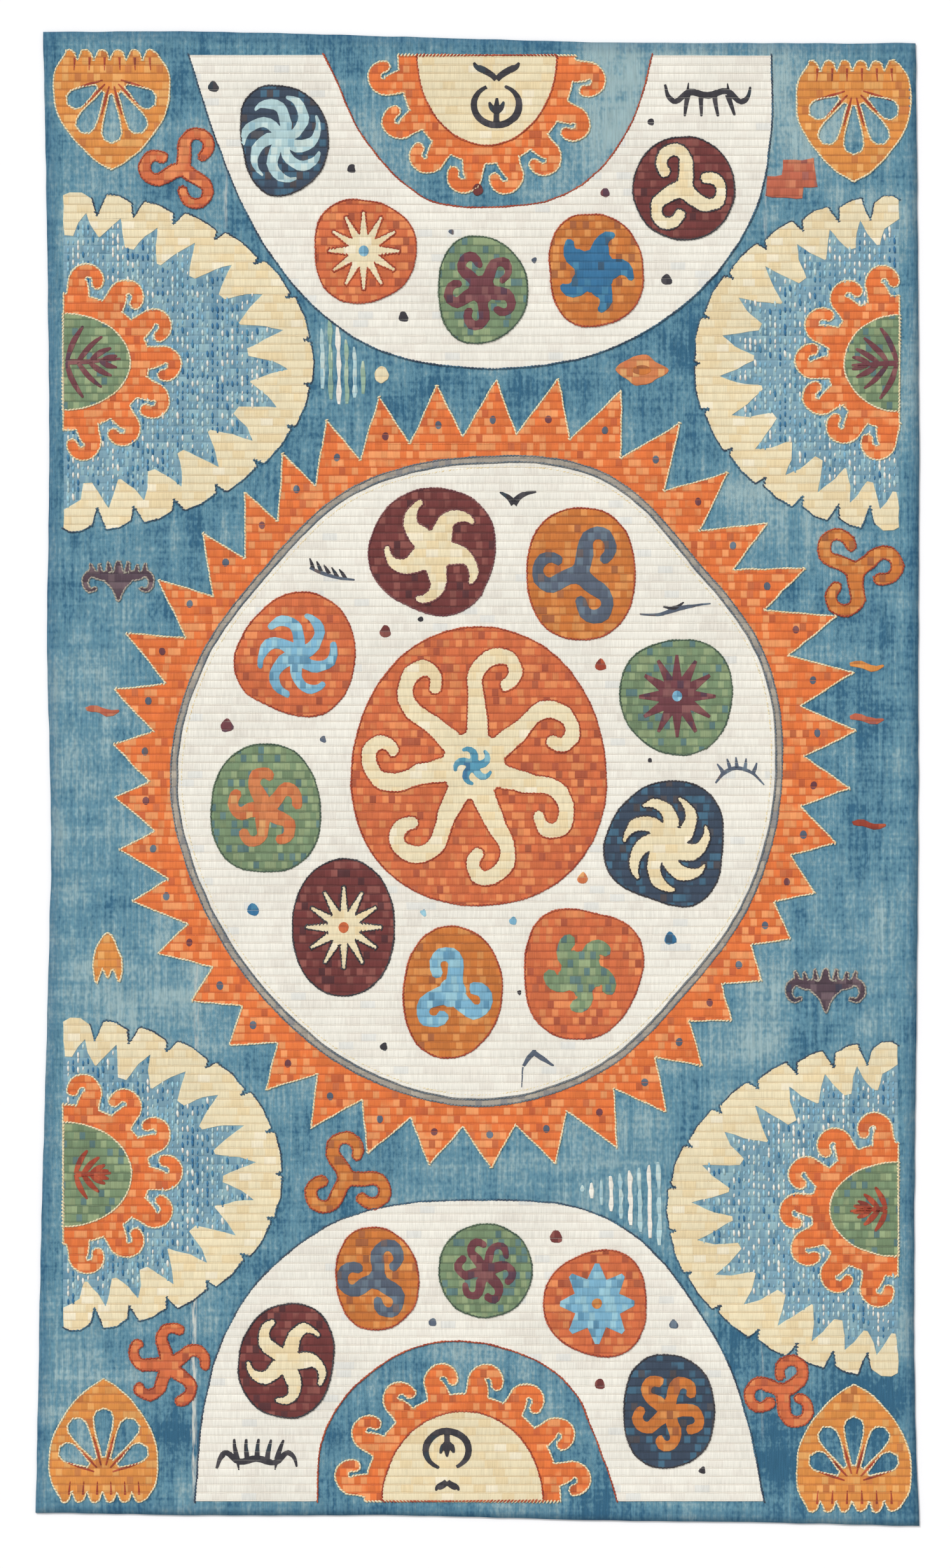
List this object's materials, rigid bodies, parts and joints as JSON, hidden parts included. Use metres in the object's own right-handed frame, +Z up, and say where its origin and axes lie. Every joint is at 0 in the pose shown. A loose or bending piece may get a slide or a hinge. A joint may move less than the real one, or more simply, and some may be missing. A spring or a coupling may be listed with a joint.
{
  "type": "kaitag embroidery",
  "caption": "Indigo cotton cloth with a turned hem, laid flat, worked in laid and couched silk with a toothed sunburst, roundels, horseshoes and half medallions",
  "frame": {"origin": "middle of the underside of the cloth", "axes": "+Z up out of the embroidered face, +Y along the length towards the top of the design, +X to the right of the design"},
  "size_m": [0.657, 1.1112, 0.0025],
  "materials": {
    "indigo_cloth": "matt indigo-dyed cotton under laid silk"
  },
  "bodies": {
    "root": {"embroidered_cloth": "indigo_cloth"}
  },
  "joints": []
}
